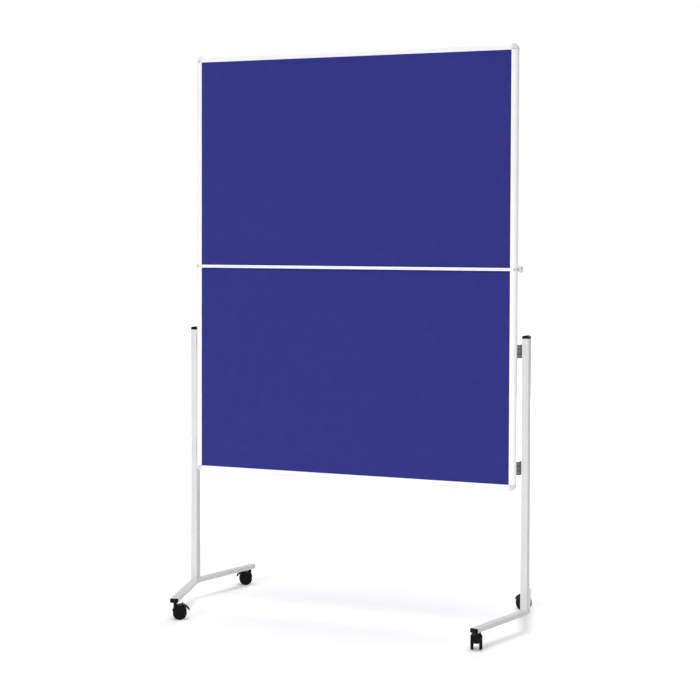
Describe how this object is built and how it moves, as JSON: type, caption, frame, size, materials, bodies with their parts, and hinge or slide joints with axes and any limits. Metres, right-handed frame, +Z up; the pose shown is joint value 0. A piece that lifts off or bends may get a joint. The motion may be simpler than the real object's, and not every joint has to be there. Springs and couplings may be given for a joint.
{
  "type": "mobile pinboard",
  "caption": "Folding mobile pinboard: a felt-faced board split across the middle by a fold, with a slim metal frame, carried between side posts on V-shaped feet with twin-wheel castors.",
  "frame": {"origin": "on the floor, midway between the two uprights", "axes": "+X across the board to the right, +Y from the front pinning face to the back, +Z up"},
  "size_m": [1.2768, 0.655, 1.9786],
  "materials": {
    "frame_profile": "satin",
    "corner_plastic": "matt",
    "felt": "needled felt",
    "soft_board": "raw fibre",
    "cast_fitting": "cast",
    "steel_pin": "bright",
    "knob_plastic": "matt",
    "bracket_plastic": "matt",
    "coated_tube": "powder coat",
    "black_plastic": "matt",
    "wheel_plastic": "matt"
  },
  "bodies": {
    "stand": {"bottom_corners": "corner_plastic", "bottom_rail": "frame_profile", "bracket_lower_left": "bracket_plastic", "bracket_lower_right": "bracket_plastic", "bracket_upper_left": "bracket_plastic", "bracket_upper_right": "bracket_plastic", "castor_stems": "steel_pin", "foot_left": "coated_tube", "foot_right": "coated_tube", "leg_ends": "black_plastic", "lower_core": "soft_board", "lower_felt_back": "felt", "lower_felt_front": "felt", "lower_hinge_rail": "frame_profile", "lower_pivots": "cast_fitting", "lower_stile_left": "frame_profile", "lower_stile_right": "frame_profile", "pivot_pins": "steel_pin", "upright_cap_left": "black_plastic", "upright_cap_right": "black_plastic", "upright_left": "coated_tube", "upright_right": "coated_tube"},
    "upper_half": {"top_corners": "corner_plastic", "top_rail": "frame_profile", "upper_core": "soft_board", "upper_felt_back": "felt", "upper_felt_front": "felt", "upper_hinge_rail": "frame_profile", "upper_pivots": "cast_fitting", "upper_stile_left": "frame_profile", "upper_stile_right": "frame_profile"},
    "clamp_knob_left": {"knob_left": "knob_plastic"},
    "clamp_knob_right": {"knob_right": "knob_plastic"},
    "castor_front_left": {"castor_front_left_housing": "black_plastic", "castor_front_left_axle": "steel_pin"},
    "castor_front_left_wheel_a": {"castor_front_left_wheel_a": "wheel_plastic"},
    "castor_front_left_wheel_b": {"castor_front_left_wheel_b": "wheel_plastic"},
    "castor_front_left_brake": {"castor_front_left_pedal": "black_plastic"},
    "castor_front_right": {"castor_front_right_housing": "black_plastic", "castor_front_right_axle": "steel_pin"},
    "castor_front_right_wheel_a": {"castor_front_right_wheel_a": "wheel_plastic"},
    "castor_front_right_wheel_b": {"castor_front_right_wheel_b": "wheel_plastic"},
    "castor_front_right_brake": {"castor_front_right_pedal": "black_plastic"},
    "castor_back_left": {"castor_back_left_housing": "black_plastic", "castor_back_left_axle": "steel_pin"},
    "castor_back_left_wheel_a": {"castor_back_left_wheel_a": "wheel_plastic"},
    "castor_back_left_wheel_b": {"castor_back_left_wheel_b": "wheel_plastic"},
    "castor_back_left_brake": {"castor_back_left_pedal": "black_plastic"},
    "castor_back_right": {"castor_back_right_housing": "black_plastic", "castor_back_right_axle": "steel_pin"},
    "castor_back_right_wheel_a": {"castor_back_right_wheel_a": "wheel_plastic"},
    "castor_back_right_wheel_b": {"castor_back_right_wheel_b": "wheel_plastic"},
    "castor_back_right_brake": {"castor_back_right_pedal": "black_plastic"}
  },
  "joints": [
    {"name": "fold", "type": "hinge", "parent": "stand", "child": "upper_half", "pos_m": [0, -0.013, 1.2235], "axis": [-1, 0, 0], "range_deg": [0, 180]},
    {"name": "knob_left_turn", "type": "hinge", "parent": "stand", "child": "clamp_knob_left", "pos_m": [-0.606, -0.013, 1.2235], "axis": [-1, 0, 0], "range_deg": [0, 360]},
    {"name": "knob_right_turn", "type": "hinge", "parent": "stand", "child": "clamp_knob_right", "pos_m": [0.606, -0.013, 1.2235], "axis": [1, 0, 0], "range_deg": [0, 360]},
    {"name": "castor_front_left_swivel", "type": "hinge", "parent": "stand", "child": "castor_front_left", "pos_m": [-0.5475, -0.3, 0.058], "axis": [0, 0, 1], "continuous": true},
    {"name": "castor_front_left_wheel_a_spin", "type": "hinge", "parent": "castor_front_left", "child": "castor_front_left_wheel_a", "pos_m": [-0.53338, -0.29249, 0.024], "axis": [-0.4695, 0.8829, 0], "continuous": true},
    {"name": "castor_front_left_wheel_b_spin", "type": "hinge", "parent": "castor_front_left", "child": "castor_front_left_wheel_b", "pos_m": [-0.53338, -0.29249, 0.024], "axis": [-0.4695, 0.8829, 0], "continuous": true},
    {"name": "castor_front_left_brake_press", "type": "hinge", "parent": "castor_front_left", "child": "castor_front_left_brake", "pos_m": [-0.52508, -0.28808, 0.05291], "axis": [-0.4695, 0.8829, 0], "range_deg": [0, 10]},
    {"name": "castor_front_right_swivel", "type": "hinge", "parent": "stand", "child": "castor_front_right", "pos_m": [0.5475, -0.3, 0.058], "axis": [0, 0, 1], "continuous": true},
    {"name": "castor_front_right_wheel_a_spin", "type": "hinge", "parent": "castor_front_right", "child": "castor_front_right_wheel_a", "pos_m": [0.54283, -0.2847, 0.024], "axis": [-0.9563, -0.2924, 0], "continuous": true},
    {"name": "castor_front_right_wheel_b_spin", "type": "hinge", "parent": "castor_front_right", "child": "castor_front_right_wheel_b", "pos_m": [0.54283, -0.2847, 0.024], "axis": [-0.9563, -0.2924, 0], "continuous": true},
    {"name": "castor_front_right_brake_press", "type": "hinge", "parent": "castor_front_right", "child": "castor_front_right_brake", "pos_m": [0.54008, -0.27571, 0.05291], "axis": [-0.9563, -0.2924, 0], "range_deg": [0, 10]},
    {"name": "castor_back_left_swivel", "type": "hinge", "parent": "stand", "child": "castor_back_left", "pos_m": [-0.5475, 0.3, 0.058], "axis": [0, 0, 1], "continuous": true},
    {"name": "castor_back_left_wheel_a_spin", "type": "hinge", "parent": "castor_back_left", "child": "castor_back_left_wheel_a", "pos_m": [-0.56163, 0.29249, 0.024], "axis": [0.4695, -0.8829, 0], "continuous": true},
    {"name": "castor_back_left_wheel_b_spin", "type": "hinge", "parent": "castor_back_left", "child": "castor_back_left_wheel_b", "pos_m": [-0.56163, 0.29249, 0.024], "axis": [0.4695, -0.8829, 0], "continuous": true},
    {"name": "castor_back_left_brake_press", "type": "hinge", "parent": "castor_back_left", "child": "castor_back_left_brake", "pos_m": [-0.56993, 0.28808, 0.05291], "axis": [0.4695, -0.8829, 0], "range_deg": [0, 10]},
    {"name": "castor_back_right_swivel", "type": "hinge", "parent": "stand", "child": "castor_back_right", "pos_m": [0.5475, 0.3, 0.058], "axis": [0, 0, 1], "continuous": true},
    {"name": "castor_back_right_wheel_a_spin", "type": "hinge", "parent": "castor_back_right", "child": "castor_back_right_wheel_a", "pos_m": [0.53365, 0.308, 0.024], "axis": [-0.5, -0.866, 0], "continuous": true},
    {"name": "castor_back_right_wheel_b_spin", "type": "hinge", "parent": "castor_back_right", "child": "castor_back_right_wheel_b", "pos_m": [0.53365, 0.308, 0.024], "axis": [-0.5, -0.866, 0], "continuous": true},
    {"name": "castor_back_right_brake_press", "type": "hinge", "parent": "castor_back_right", "child": "castor_back_right_brake", "pos_m": [0.52551, 0.3127, 0.05291], "axis": [-0.5, -0.866, 0], "range_deg": [0, 10]}
  ]
}
